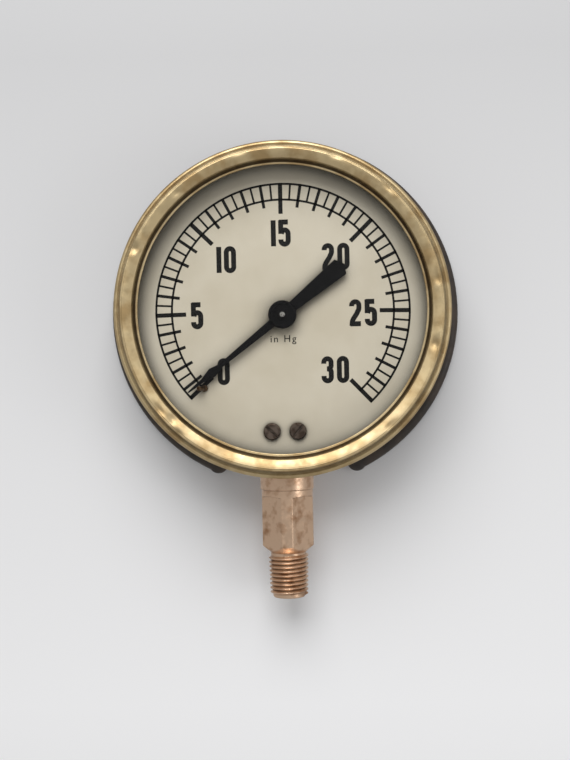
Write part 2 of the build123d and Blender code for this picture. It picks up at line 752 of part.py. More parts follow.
# ---- socket -------------------------------------------------------------------------------
def stem_thread():
    """Helical ridge of the tapered pipe thread, standing on the cone of its roots."""
    height = stem_thread_length - 2 * stem_end_chamfer
    start_radius = stem_thread_radius - stem_thread_depth - stem_thread_taper * height
    path = Helix(stem_thread_pitch, height, start_radius,
                 cone_angle=degrees(atan2(stem_thread_taper, 1)))
    foot = stem_thread_pitch * (1 - stem_thread_root_gap) / 2
    crest = stem_thread_pitch * stem_thread_crest / 2
    at_start = Plane(origin=path @ 0, x_dir=(path @ 0).normalized(), z_dir=path % 0)
    side = [(-stem_thread_sink, foot), (0, foot), (stem_thread_depth, crest)]
    other_side = [(x, -y) for x, y in reversed(side)]
    ridge = make_face(Polyline(*side, *other_side, close=True))
    return Pos(0, 0, stem_end_chamfer) * sweep(at_start * ridge, path, is_frenet=True)


def stem():
    """Turned stem with its thread, wrench flats, neck and collar."""
    root_top = stem_thread_radius - stem_thread_depth
    root_bottom = root_top - stem_thread_taper * stem_thread_length
    block_bottom = case_centre_height - block_bottom_drop
    collar_top = case_centre_height - dial_bore_radius
    body = turned([
        (0, 0),
        (root_bottom - stem_end_round[0], 0),
        (root_bottom, stem_end_round[1]),
        (root_top, stem_thread_length),
        (stem_radius, stem_shoulder_height),
        (stem_radius, stem_neck_top),
        (collar_radius, stem_neck_top + 0.2),
        (collar_radius, collar_top),
        (neck_radius, collar_top),
        (neck_radius, block_bottom),
        (0, block_bottom),
    ])
    for side in range(4):
        body -= Rot(0, 0, 45 + 90 * side) * flat_cutter()
    return body


def flat_cutter():
    """Space in front of one wrench flat, arched at its top."""
    half = stem_radius
    outline = make_face(Curve() + [
        Line((-half, stem_flats_bottom - 2), (half, stem_flats_bottom - 2)),
        Line((half, stem_flats_bottom - 2), (half, stem_flats_top - stem_flats_arch)),
        ThreePointArc((half, stem_flats_top - stem_flats_arch), (0, stem_flats_top),
                      (-half, stem_flats_top - stem_flats_arch)),
        Line((-half, stem_flats_top - stem_flats_arch), (-half, stem_flats_bottom - 2)),
    ])
    cutter = extrude(Plane.XZ * outline, stem_radius)
    return Pos(0, -stem_flats_width / 2, 0) * cutter


def socket_block():
    """Block inside the case that carries tube, movement and dial, in the front view."""
    block = Box(block_width, block_bottom_drop - block_top_drop, dial_level - case_floor_level,
                align=(Align.CENTER, Align.MAX, Align.MIN))
    ledge = Box(block_width, block_top_drop - ledge_top_drop, back_plate_level - case_floor_level,
                align=(Align.CENTER, Align.MAX, Align.MIN))
    block = chamfer(block.edges().group_by(Axis.Z)[0].group_by(Axis.Y)[0], block_chamfer)
    whole = Pos(0, -block_top_drop, case_floor_level) * block
    whole += Pos(0, -ledge_top_drop, case_floor_level) * ledge
    for place in DIAL_SCREWS:
        whole -= rod(place, dial_screw_shank_radius + thread_clearance,
                     dial_level - dial_screw_length, dial_level)
    for place in FEET:
        whole -= rod(place, movement_screw_shank_radius + thread_clearance,
                     back_plate_level - movement_screw_grip, back_plate_level)
    for place in SOCKET_SCREWS:
        whole -= rod(place, socket_screw_shank_radius + thread_clearance,
                     case_floor_level, case_floor_level + socket_screw_grip)
    return whole


def socket():
    """One forging: stem below, block above, drilled from the stem's end to the tube."""
    tube_mouth = SHAFT.Y + tube_radius * sin(radians(tube_start_angle))
    passage_height = case_centre_height + tube_mouth
    body = stem() + FRONT_VIEW.location * socket_block()
    body += stem_thread()
    inlet = Cylinder(inlet_radius, passage_height, align=(Align.CENTER, Align.CENTER, Align.MIN))
    cross = Cylinder(cross_passage_radius, block_width / 2, rotation=(0, 90, 0),
                     align=(Align.CENTER, Align.CENTER, Align.MIN))
    return body - inlet - Pos(0, 0, passage_height) * cross


def socket_screw_space(place, clearance):
    """Countersunk screw shape, widened by a clearance."""
    cone_depth = socket_screw_head_radius - socket_screw_shank_radius
    head = Cone(socket_screw_head_radius + clearance, socket_screw_shank_radius + clearance,
                cone_depth, align=(Align.CENTER, Align.CENTER, Align.MIN))
    shank = rod(place, socket_screw_shank_radius + clearance, case_back_level,
                case_floor_level + socket_screw_grip)
    return Pos(place.X, place.Y, case_back_level) * head + shank


def socket_screws():
    """Two countersunk slotted screws through the back of the case."""
    screws = []
    for place, angle in zip(SOCKET_SCREWS, (25, -60)):
        slot = Box(3 * socket_screw_head_radius, screw_slot_width, screw_slot_depth,
                   align=(Align.CENTER, Align.CENTER, Align.MIN))
        slot = Pos(place.X, place.Y, case_back_level) * Rot(0, 0, angle) * slot
        screws.append(socket_screw_space(place, 0) - slot)
    return Compound(children=screws)


# ---- output -------------------------------------------------------------------------------
FRONT_VIEW_PIECES = {
    "case": case,
    "window_gasket": window_gasket,
    "window_glass": window_glass,
    "bezel_ring": bezel_ring,
    "dial": dial,
    "dial_screws": dial_screws,
    "stop_pin": stop_pin,
    "pointer": pointer,
    "pointer_hub": pointer_hub,
    "pinion_arbor": pinion_arbor,
    "sector_gear": sector_gear,
    "sector_arbor": sector_arbor,
    "link": link,
    "sector_link_pin": lambda: link_pin(TAIL_PIN),
    "tip_link_pin": lambda: link_pin(TIP_PIN),
    "movement_back_plate": movement_back_plate,
    "movement_front_plate": movement_front_plate,
    "movement_pillars": movement_pillars,
    "plate_screws": plate_screws,
    "movement_screws": movement_screws,
    "hairspring": hairspring,
    "hairspring_collet": hairspring_collet,
    "hairspring_stud": hairspring_stud,
    "bourdon_tube": bourdon_tube,
    "tube_tip": tube_tip,
    "socket_screws": socket_screws,
}

os.makedirs("parts", exist_ok=True)
for name, make in FRONT_VIEW_PIECES.items():
    export_step(FRONT_VIEW.location * make(), f"parts/{name}.step")
export_step(socket(), "parts/socket.step")
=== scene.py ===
"""Looks of a vintage bottom-connection dial gauge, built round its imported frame.

Sizes that are drawn here are in millimetres; meshes are in metres, in the frame's axes:
+X to the reader's right, +Y into the gauge and +Z up. Each sub-assembly is a class.
"""

import logging
import math
from dataclasses import dataclass, field
from enum import Enum

import bpy
import numpy as np
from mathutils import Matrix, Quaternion, Vector


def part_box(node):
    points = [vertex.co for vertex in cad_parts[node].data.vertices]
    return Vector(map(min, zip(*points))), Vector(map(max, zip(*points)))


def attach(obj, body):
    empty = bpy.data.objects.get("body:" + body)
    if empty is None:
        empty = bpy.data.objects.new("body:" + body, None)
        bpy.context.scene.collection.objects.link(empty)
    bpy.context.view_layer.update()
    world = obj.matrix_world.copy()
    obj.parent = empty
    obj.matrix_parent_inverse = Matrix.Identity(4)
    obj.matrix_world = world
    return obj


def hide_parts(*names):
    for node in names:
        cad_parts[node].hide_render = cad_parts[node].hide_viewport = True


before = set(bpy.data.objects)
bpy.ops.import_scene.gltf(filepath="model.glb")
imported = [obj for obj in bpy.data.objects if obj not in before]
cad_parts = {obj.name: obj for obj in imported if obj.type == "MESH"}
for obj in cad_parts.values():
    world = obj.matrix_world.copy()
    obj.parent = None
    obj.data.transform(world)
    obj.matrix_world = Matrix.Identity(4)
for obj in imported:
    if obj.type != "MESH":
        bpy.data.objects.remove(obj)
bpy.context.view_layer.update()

logging.basicConfig(level=logging.INFO, format="%(message)s")
LOG = logging.getLogger("gauge")

MM = 0.001
BODY = "gauge_body"


# ---- places read from the frame -----------------------------------------------------------
class Places:
    """Centres and levels of the gauge in millimetres, measured once from its frame."""

    dial_low, dial_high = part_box("dial")
    bezel_low, bezel_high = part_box("bezel_ring")
    centre_x = (dial_low.x + dial_high.x) / 2 / MM
    centre_z = (dial_low.z + dial_high.z) / 2 / MM
    dial_face = -dial_low.y / MM
    glass_front = -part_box("window_glass")[0].y / MM
    bezel_front = -bezel_low.y / MM
    bezel_back = -bezel_high.y / MM
    bezel_radius = (bezel_high.x - bezel_low.x) / 2 / MM
    case_back = -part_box("case")[1].y / MM


# ---- mesh helpers -------------------------------------------------------------------------
def front_view(x: np.ndarray, y: np.ndarray, level: np.ndarray) -> np.ndarray:
    """Turns front-view millimetres into frame metres.

    Formula: X = centre + x, Y = -level, Z = centre + y.

    Args:
        x: distances right of the dial's centre.
        y: distances above the dial's centre.
        level: distances in front of the stem's axis.

    Returns:
        Points with a last axis of three.
    """
    x, y, level = np.broadcast_arrays(x, y, level)
    return np.stack([x + Places.centre_x, -level, y + Places.centre_z], axis=-1) * MM


def grid_faces(rows: int, columns: int, close_rows: bool, close_columns: bool) -> np.ndarray:
    """Quads of a grid of points numbered row by row.

    Args:
        rows: points along the first parameter.
        columns: points along the second parameter.
        close_rows: whether the last row joins the first.
        close_columns: whether the last column joins the first.

    Returns:
        An array of quads of point numbers.
    """
    row = np.arange(rows if close_rows else rows - 1)
    column = np.arange(columns if close_columns else columns - 1)
    i, j = np.meshgrid(row, column, indexing="ij")
    k, m = (i + 1) % rows, (j + 1) % columns
    corners = [i * columns + j, i * columns + m, k * columns + m, k * columns + j]
    return np.stack(corners, axis=-1).reshape(-1, 4)


def make_piece(name: str, points: np.ndarray, faces: np.ndarray, body: str,
               smooth: bool = True) -> bpy.types.Object:
    """Puts whole arrays of points and faces into one object that rides on a body.

    Args:
        name: the piece's name.
        points: an array of points in metres.
        faces: an array of polygons of equal size.
        body: the CAD body that carries the piece.
        smooth: whether its faces are shaded smooth.

    Returns:
        The new object.
    """
    points, faces = points.reshape(-1, 3), np.asarray(faces)
    sides = faces.shape[1]
    mesh = bpy.data.meshes.new(name)
    mesh.vertices.add(len(points))
    mesh.vertices.foreach_set("co", points.astype(np.float32).ravel())
    mesh.loops.add(faces.size)
    mesh.loops.foreach_set("vertex_index", faces.astype(np.int32).ravel())
    mesh.polygons.add(len(faces))
    mesh.polygons.foreach_set("loop_start", np.arange(0, faces.size, sides, dtype=np.int32))
    mesh.polygons.foreach_set("use_smooth", np.full(len(faces), smooth))
    mesh.update(calc_edges=True)
    mesh.validate()
    piece = bpy.data.objects.new(name, mesh)
    bpy.context.collection.objects.link(piece)
    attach(piece, body)
    return piece


def box_faces(count: int) -> np.ndarray:
    """Outward quads of separate boxes, eight points each: four back ones, then four front ones.

    Args:
        count: the number of boxes.

    Returns:
        An array of quads, six per box.
    """
    one = np.array([[0, 3, 2, 1], [4, 5, 6, 7], [0, 1, 5, 4],
                    [1, 2, 6, 5], [2, 3, 7, 6], [3, 0, 4, 7]])
    return (one[None] + 8 * np.arange(count)[:, None, None]).reshape(-1, 4)


def line(start: tuple[float, float], end: tuple[float, float], count: int) -> np.ndarray:
    """Evenly spaced points on a straight run.

    Args:
        start: first point.
        end: last point.
        count: number of points.

    Returns:
        An array of points.
    """
    part = np.linspace(0, 1, count)[:, None]
    return np.array(start) * (1 - part) + np.array(end) * part


def hermite(knots: tuple[tuple[float, float], ...], count: int) -> np.ndarray:
    """Smooth curve through knots.

    Formula: on each span, cubic Hermite blends with tangents from the neighbouring knots
    (a Catmull-Rom curve), with the end knots repeated.

    Args:
        knots: the points to pass through.
        count: points on each span.

    Returns:
        An array of points.
    """
    held = np.array([knots[0], *knots, knots[-1]], dtype=float)
    t = np.linspace(0, 1, count, endpoint=False)[:, None]
    spans = []
    for a, b, c, d in zip(held, held[1:], held[2:], held[3:]):
        spans.append(0.5 * (2 * b + (c - a) * t + (2 * a - 5 * b + 4 * c - d) * t**2
                            + (3 * b - a - 3 * c + d) * t**3))
    return np.concatenate([*spans, held[-1:]])


# ---- material helpers ---------------------------------------------------------------------
def linear(colour: str) -> tuple[float, float, float, float]:
    """Turns an sRGB hex colour into linear RGBA.

    Args:
        colour: six hex digits after a hash.

    Returns:
        Linear red, green, blue and an alpha of one.
    """
    srgb = np.array([int(colour[i:i + 2], 16) for i in (1, 3, 5)]) / 255
    value = np.where(srgb <= 0.04045, srgb / 12.92, ((srgb + 0.055) / 1.055) ** 2.4)
    return (*(float(v) for v in value), 1.0)


def add_node(tree: bpy.types.NodeTree, kind: str, outlet: int | str = 0,
             **settings: object) -> bpy.types.NodeSocket:
    """Adds one node, sets its properties and inputs, and returns one of its outputs.

    Args:
        tree: the material's node tree.
        kind: the node's class name.
        outlet: the number or name of the output wanted.
        **settings: property names, or input names with spaces as underscores, or in0, in1...
            A socket value is linked and any other value is set.

    Returns:
        The chosen output socket, or the node's first input when it has no output.
    """
    node = tree.nodes.new(kind)
    for key, value in settings.items():
        if hasattr(node, key):
            setattr(node, key, value)
            continue
        if key.startswith("in") and key[2:].isdigit():
            inlet = node.inputs[int(key[2:])]
        else:
            inlet = node.inputs[key.replace("_", " ")]
        if isinstance(value, bpy.types.NodeSocket):
            tree.links.new(value, inlet)
        else:
            inlet.default_value = value
    return node.outputs[outlet] if node.outputs else node.inputs[0]


def new_material(name: str) -> tuple[bpy.types.Material, bpy.types.NodeTree]:
    """An empty node material.

    Args:
        name: the material's name.

    Returns:
        The material and its node tree.
    """
    material = bpy.data.materials.new(name)
    material.use_nodes = True
    material.node_tree.nodes.clear()
    return material, material.node_tree


def ramp(tree: bpy.types.NodeTree, value: bpy.types.NodeSocket, low: float, high: float,
         to_low: float = 0.0, to_high: float = 1.0) -> bpy.types.NodeSocket:
    """Maps a value from one span to another and clamps it.

    Args:
        tree: the material's node tree.
        value: the socket to map.
        low: value that becomes to_low.
        high: value that becomes to_high.
        to_low: result at low.
        to_high: result at high.

    Returns:
        The mapped value's socket.
    """
    return add_node(tree, "ShaderNodeMapRange", Value=value, From_Min=low, From_Max=high,
                    To_Min=to_low, To_Max=to_high)


def noise(tree: bpy.types.NodeTree, place: bpy.types.NodeSocket, grain: float,
          detail: float = 3.0) -> bpy.types.NodeSocket:
    """Soft noise whose lumps are about a given size.

    Args:
        tree: the material's node tree.
        place: the coordinates to read.
        grain: lump size in millimetres.
        detail: number of finer octaves.

    Returns:
        The noise value's socket.
    """
    return add_node(tree, "ShaderNodeTexNoise", Vector=place, Scale=1 / (grain * MM),
                    Detail=detail)


def mix_colour(tree: bpy.types.NodeTree, amount: bpy.types.NodeSocket,
               first: object, second: object) -> bpy.types.NodeSocket:
    """Blends two colours by an amount.

    Args:
        tree: the material's node tree.
        amount: zero for the first and one for the second.
        first: a colour or a socket.
        second: a colour or a socket.

    Returns:
        The blended colour's socket.
    """
    return add_node(tree, "ShaderNodeMix", 2, data_type="RGBA", in0=amount, in6=first, in7=second)


@dataclass(frozen=True)
class Finish:
    """A painted, lacquered, rubber or metal surface with patches, pits and painted shade in corners
    and rings.

    Attributes:
        name: the real material's name.
        base: main colour.
        patch: colour of worn or tarnished patches.
        painted_shade: colour painted into corners and onto a ring as shade.
        metallic: one for bare metal.
        roughness: lowest and highest roughness.
        patch_size: size of the patches in millimetres.
        patch_span: noise values between which a patch fades in.
        bump_size: size of the surface's lumps in millimetres.
        bump_height: height of the lumps in millimetres.
        turned: pitch of turning marks in millimetres, or zero.
        painted_shade_reach: distance from a corner over which ambient occlusion darkens the colour
            as painted shade, in millimetres, or zero.
        edge_round: radius to which sharp edges look worn, in millimetres, or zero.
        sheen_level: strength of the mirror at the coat's face, 0.5 for a plain coat.
        painted_shade_ring: radii between which a ring about the dial's axis is darkened as painted
            shade, or zeros.
    """

    name: str
    base: str
    patch: str
    painted_shade: str = "#1a1410"
    metallic: float = 1.0
    roughness: tuple[float, float] = (0.25, 0.4)
    patch_size: float = 6.0
    patch_span: tuple[float, float] = (0.42, 0.62)
    bump_size: float = 0.8
    bump_height: float = 0.01
    turned: float = 0.0
    painted_shade_reach: float = 0.0
    edge_round: float = 0.0
    sheen_level: float = 0.5
    painted_shade_ring: tuple[float, float] = (0.0, 0.0)

    def axis_distance(self, tree: bpy.types.NodeTree,
                      place: bpy.types.NodeSocket) -> bpy.types.NodeSocket:
        """Distance from the dial's axis, in metres.

        Args:
            tree: the material's node tree.
            place: object coordinates.

        Returns:
            The distance's socket.
        """
        centred = add_node(tree, "ShaderNodeVectorMath", operation="SUBTRACT", in0=place,
                           in1=(Places.centre_x * MM, 0, Places.centre_z * MM))
        flat = add_node(tree, "ShaderNodeVectorMath", operation="MULTIPLY", in0=centred,
                        in1=(1, 0, 1))
        return add_node(tree, "ShaderNodeVectorMath", "Value", operation="LENGTH", in0=flat)

    def material(self) -> bpy.types.Material:
        """The finish as a node material.

        Returns:
            The new material.
        """
        material, tree = new_material(self.name)
        place = add_node(tree, "ShaderNodeTexCoord", "Object")
        patches = noise(tree, place, self.patch_size, 5.0)
        amount = ramp(tree, patches, *self.patch_span)
        colour = mix_colour(tree, amount, linear(self.base), linear(self.patch))
        rough = ramp(tree, noise(tree, place, self.patch_size / 3, 4.0), 0.35, 0.65,
                     *self.roughness)
        lumps = noise(tree, place, self.bump_size, 4.0)
        normal = {}
        if self.edge_round:
            normal = {"Normal": add_node(tree, "ShaderNodeBevel", samples=4,
                                         Radius=self.edge_round * MM)}
        surface = add_node(tree, "ShaderNodeBump", Height=lumps, Strength=1.0,
                           Distance=self.bump_height * MM, **normal)
        if self.turned:
            marks = add_node(tree, "ShaderNodeTexNoise", noise_dimensions="1D",
                             W=self.axis_distance(tree, place),
                             Scale=1 / (self.turned * MM), Detail=2.0)
            surface = add_node(tree, "ShaderNodeBump", Height=marks, Strength=0.6,
                               Distance=self.bump_height * MM, Normal=surface)
        # Painted shade: the colour is darkened towards the shade colour where ambient occlusion
        # finds corners and recesses.
        if self.painted_shade_reach:
            corners = add_node(tree, "ShaderNodeAmbientOcclusion", "AO", samples=6,
                               Distance=self.painted_shade_reach * MM)
            held = ramp(tree, corners, 0.4, 0.92, 1.0, 0.0)
            colour = mix_colour(tree, held, colour, linear(self.painted_shade))
        # Painted shade: a ring about the dial's axis is darkened towards the shade colour.
        if self.painted_shade_ring[1]:
            radius = self.axis_distance(tree, place)
            inner, outer = self.painted_shade_ring
            rising = ramp(tree, radius, (inner - 0.1) * MM, (inner + 0.1) * MM)
            falling = ramp(tree, radius, (outer - 0.2) * MM, (outer + 0.3) * MM, 0.85, 0.0)
            ring = add_node(tree, "ShaderNodeMath", operation="MULTIPLY", in0=rising, in1=falling)
            colour = mix_colour(tree, ring, colour, linear(self.painted_shade))
        shader = add_node(tree, "ShaderNodeBsdfPrincipled", Base_Color=colour,
                          Metallic=self.metallic, Roughness=rough, Normal=surface,
                          Specular_IOR_Level=self.sheen_level)
        add_node(tree, "ShaderNodeOutputMaterial", Surface=shader)
        return material


@dataclass(frozen=True)
class WindowGlass:
    """Soda-lime window glass: clear, with a weak mirror at its faces."""

    name: str = "soda_lime_window_glass"
    ior: float = 1.5

    def material(self) -> bpy.types.Material:
        """Clear glass that lets light straight through and reflects at its outer face.

        Returns:
            The new material.
        """
        material, tree = new_material(self.name)
        edge = add_node(tree, "ShaderNodeFresnel", IOR=self.ior)
        behind = add_node(tree, "ShaderNodeNewGeometry", "Backfacing")
        outside = add_node(tree, "ShaderNodeMath", operation="SUBTRACT", in0=1.0, in1=behind)
        edge = add_node(tree, "ShaderNodeMath", operation="MULTIPLY", in0=edge, in1=outside)
        mirror = add_node(tree, "ShaderNodeBsdfGlossy", Roughness=0.02,
                          Color=(0.25, 0.25, 0.25, 1))
        clear = add_node(tree, "ShaderNodeBsdfTransparent", Color=(0.985, 0.985, 0.98, 1))
        mixed = add_node(tree, "ShaderNodeMixShader", in0=edge, in1=clear, in2=mirror)
        add_node(tree, "ShaderNodeOutputMaterial", Surface=mixed)
        return material


class Finishes(Enum):
    """Every finish on the gauge, by the metal or coat that it is."""

    # Japanned cast iron: thick black-brown baked varnish, dull, rubbed brown in places.
    JAPANNED_IRON = Finish("japanned_cast_iron", "#2a231d", "#3d3127", metallic=0.0,
                           roughness=(0.38, 0.6), patch_size=9, bump_size=1.4,
                           bump_height=0.05, edge_round=0.3)
    # Spun brass, lacquer gone: satin yellow with browner tarnish and fine turning rings, with
    # painted shade in its corners and a painted dark ring on the steep inner slope by the lip.
    SPUN_BRASS = Finish("spun_brass", "#cdb88f", "#b0966c", painted_shade="#2c2018",
                        roughness=(0.36, 0.5), patch_size=7, bump_size=1.3,
                        bump_height=0.03, turned=0.35, painted_shade_reach=1.8, painted_shade_ring=(46.6, 47.5))
    # Silver-beige dial lacquer over brass: dull, slightly metallic, faint stains; its margin near
    # the bezel and case wall is darkened with painted shade standing in for the bezel's shadow.
    DIAL_LACQUER = Finish("dial_lacquer", "#d8cfbc", "#cfc5b0", painted_shade="#3a3428", metallic=0.0,
                          roughness=(0.5, 0.62), patch_size=16, patch_span=(0.4, 0.7),
                          bump_size=0.25, bump_height=0.003, painted_shade_reach=6.0)
    # Black screen-printing ink: flat and dense.
    DIAL_INK = Finish("dial_ink", "#090807", "#100f0d", metallic=0.0, roughness=(0.5, 0.6),
                      patch_size=3, bump_size=0.3, bump_height=0.002, sheen_level=0.2)
    # Black pointer enamel: smooth with a soft sheen.
    POINTER_ENAMEL = Finish("pointer_enamel", "#070708", "#0d0c0e", metallic=0.0,
                            roughness=(0.35, 0.5), patch_size=4, bump_size=0.5,
                            bump_height=0.004, edge_round=0.08, sheen_level=0.12)
    # Steel screw, browned with age, with painted shade in its slot and recesses.
    BROWNED_STEEL = Finish("browned_steel", "#6f6258", "#4a3d34", roughness=(0.35, 0.55),
                           patch_size=1.6, bump_size=0.4, bump_height=0.01,
                           painted_shade_reach=0.5, edge_round=0.25)
    # Turned steel shaft: bright.
    TURNED_STEEL = Finish("turned_steel", "#b9b6b0", "#93908a", roughness=(0.2, 0.35),
                          patch_size=1.5, bump_size=0.3, bump_height=0.003)
    # Tarnished brass pin.
    DARK_BRASS = Finish("tarnished_brass", "#6b5640", "#3f3025", roughness=(0.4, 0.55),
                        patch_size=0.8, bump_size=0.3, bump_height=0.008, edge_round=0.2)
    # Machined yellow brass of the movement: cleaner, because it is shut in.
    CLOCK_BRASS = Finish("machined_clock_brass", "#cbaa62", "#b08f4c", roughness=(0.22, 0.36),
                         patch_size=5, bump_size=0.5, bump_height=0.004, edge_round=0.08)
    # Drawn phosphor bronze of the tube and the hairspring.
    PHOSPHOR_BRONZE = Finish("phosphor_bronze", "#b98a58", "#99693f", roughness=(0.25, 0.4),
                             patch_size=4, bump_size=0.5, bump_height=0.004)
    # Forged bronze of the socket: pinkish brown, scratched by wrenches, with painted shade in its
    # thread and corners.
    SOCKET_BRONZE = Finish("forged_bronze", "#e0bfa2", "#ad8363", painted_shade="#4a3122",
                           roughness=(0.28, 0.46), patch_size=4.0, patch_span=(0.5, 0.72),
                           bump_size=0.7, bump_height=0.02, painted_shade_reach=0.4, edge_round=0.35)
    # Nitrile gasket.
    GASKET_RUBBER = Finish("nitrile_rubber", "#121212", "#1a1a1a", metallic=0.0,
                           roughness=(0.6, 0.75), patch_size=3, bump_size=0.4,
                           bump_height=0.01)


def put_on(piece: bpy.types.Object, material: bpy.types.Material) -> None:
    """Makes a material the only one on a piece.

    Args:
        piece: the object.
        material: the material.
    """
    piece.data.materials.clear()
    piece.data.materials.append(material)


def finish_material(materials: dict[str, bpy.types.Material],
                    finish: Finishes) -> bpy.types.Material:
    """The material of a finish, made on first use.

    Args:
        materials: finished materials by their Enum name.
        finish: the finish wanted.

    Returns:
        Its material.
    """
    if finish.name not in materials:
        materials[finish.name] = finish.value.material()
    return materials[finish.name]


def dress(materials: dict[str, bpy.types.Material], node: str, finish: Finishes) -> None:
    """Gives a CAD node a finish.

    Args:
        materials: finished materials by their Enum name, filled as they are needed.
        node: the node's name.
        finish: the finish it takes.
    """
    put_on(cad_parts[node], finish_material(materials, finish))
    LOG.info("dressed %s in %s", node, finish.value.name)


# ---- case and window ----------------------------------------------------------------------
@dataclass
class Case:
    """Cast case, socket screws at its back, gasket and window glass."""

    def build(self, materials: dict[str, bpy.types.Material]) -> None:
        """Dresses the CAD nodes, whose shapes are right.

        Args:
            materials: shared materials by name.
        """
        dress(materials, "case", Finishes.JAPANNED_IRON)
        dress(materials, "socket_screws", Finishes.BROWNED_STEEL)
        dress(materials, "window_gasket", Finishes.GASKET_RUBBER)
        put_on(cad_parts["window_glass"], WindowGlass().material())


@dataclass(frozen=True)
class Dent:
    """A knock in the bezel.

    Attributes:
        angle: degrees counter-clockwise from three o'clock.
        radius: distance from the dial's centre, in millimetres.
        depth: how far the metal is pushed back; negative stands proud.
        along: half-length along the rim, in millimetres.
        across: half-width across the rim, in millimetres.
    """

    angle: float
    radius: float
    depth: float
    along: float
    across: float


@dataclass
class Bezel:
    """Spun ring with a rolled bead, a groove, a sloping crown and a lip, knocked in places."""

    segments: int = 540
    sheet: float = 0.85
    bead_thickness: float = 2.0
    bead_drop: float = 2.15
    groove_depth: float = 0.9
    skirt_radius: float = 51.5
    crest_radius: float = 50.6
    slope_top_radius: float = 47.75
    slope_top_drop: float = 0.9
    lip_outer_radius: float = 46.7
    lip_inner_radius: float = 46.0
    lip_thickness: float = 0.65
    ripple: float = 0.035
    dents: tuple[Dent, ...] = field(default_factory=lambda: (
        Dent(156.5, 50.5, 0.75, 1.6, 1.3),
        Dent(153.0, 52.6, 0.45, 1.2, 0.9),
        Dent(131.0, 49.5, 0.40, 1.6, 1.0),
        Dent(218.0, 50.2, 0.55, 2.4, 1.0),
        Dent(224.0, 49.2, 0.45, 1.8, 1.2),
        Dent(229.0, 51.0, 0.50, 1.5, 0.8),
        Dent(-14.0, 49.6, 0.45, 1.7, 1.1),
        Dent(9.5, 50.0, 0.35, 1.4, 1.0),
        Dent(47.0, 50.8, 0.40, 2.2, 0.9),
        Dent(69.0, 51.0, 0.35, 2.6, 0.9),
        Dent(-48.0, 50.4, 0.30, 2.0, 1.0),
        Dent(104.0, 50.9, 0.25, 2.4, 0.8),
    ))

    def outline(self) -> np.ndarray:
        """Closed section of the ring as (radius, level) points, in millimetres.

        Formula: arcs and straight runs, each sampled evenly, joined outside then inside.

        Returns:
            An array of points.
        """
        front = Places.bezel_front
        rim = Places.bezel_radius
        lip_back = Places.glass_front
        bead_low = lip_back - self.bead_drop
        bead_middle = bead_low + self.bead_thickness / 2
        bead_centre = rim - self.bead_thickness / 2
        groove = bead_low + self.bead_thickness - self.groove_depth
        top = front - self.slope_top_drop
        inner = self.skirt_radius - self.sheet
        turn = np.linspace(100, -90, 13) * np.pi / 180
        bead = np.stack([bead_centre + np.cos(turn) * self.bead_thickness / 2,
                         bead_middle + np.sin(turn) * self.bead_thickness / 2], 1)
        middle = (self.slope_top_radius + self.crest_radius) / 2
        crown = hermite(((self.slope_top_radius, top), (middle, front - 0.36),
                         (self.crest_radius - 0.3, front - 0.05),
                         (self.crest_radius + 0.1, front - 0.06),
                         (self.skirt_radius - 0.1, front - 0.55),
                         (self.skirt_radius + 0.15, groove)), 8)
        outside = np.concatenate([
            line((self.lip_inner_radius, lip_back + self.lip_thickness),
                 (self.lip_outer_radius, lip_back + self.lip_thickness), 3),
            line((self.lip_outer_radius + 0.1, lip_back + self.lip_thickness + 0.1),
                 (self.slope_top_radius - 0.12, top - 0.25), 6),
            crown,
            bead,
            line((self.skirt_radius, bead_low), (self.skirt_radius, Places.bezel_back), 4),
        ])
        under = line((inner, Places.bezel_back), (inner, groove - 0.2), 4)
        under_crown = hermite(((inner, groove - 0.1), (inner - 0.6, front - self.sheet),
                               (self.slope_top_radius + self.sheet, top - self.sheet)), 6)
        foot = line((self.lip_outer_radius + self.sheet, lip_back + 0.01),
                    (self.lip_inner_radius, lip_back + 0.01), 3)
        return np.concatenate([outside, under, under_crown, foot])

    def build(self, materials: dict[str, bpy.types.Material]) -> None:
        """Turns the section about the dial's axis and knocks the dents in.

        Formula: point(angle, s) = (R(s) cos angle, R(s) sin angle, L(s) - sum of dents), where
        a dent is its depth times exp(-(distance along / along)^2 - (distance across / across)^2).

        Args:
            materials: shared materials by name.
        """
        section = self.outline()
        angle = np.linspace(0, 2 * np.pi, self.segments, endpoint=False)[:, None]
        radius, level = section[None, :, 0], section[None, :, 1]
        push = np.zeros((self.segments, len(section)))
        for dent in self.dents:
            swing = np.angle(np.exp(1j * (angle - math.radians(dent.angle))))
            along = swing * dent.radius / dent.along
            across = (radius - dent.radius) / dent.across
            push += dent.depth * np.exp(-along**2 - across**2)
        waves = sum(np.sin(angle * count + phase)
                    for count, phase in ((5, 0.7), (11, 2.1), (23, 4.0)))
        formed = np.clip((level - Places.glass_front) / 2, 0, 1)
        push = (push + self.ripple * (1 + waves / 3)) * formed
        points = front_view(radius * np.cos(angle), radius * np.sin(angle), level - push)
        faces = grid_faces(self.segments, len(section), True, True)
        ring = make_piece("bezel_ring_spun", points, faces, BODY)
        put_on(ring, finish_material(materials, Finishes.SPUN_BRASS))
        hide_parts("bezel_ring")
        LOG.info("built %s with %d faces", ring.name, len(faces))


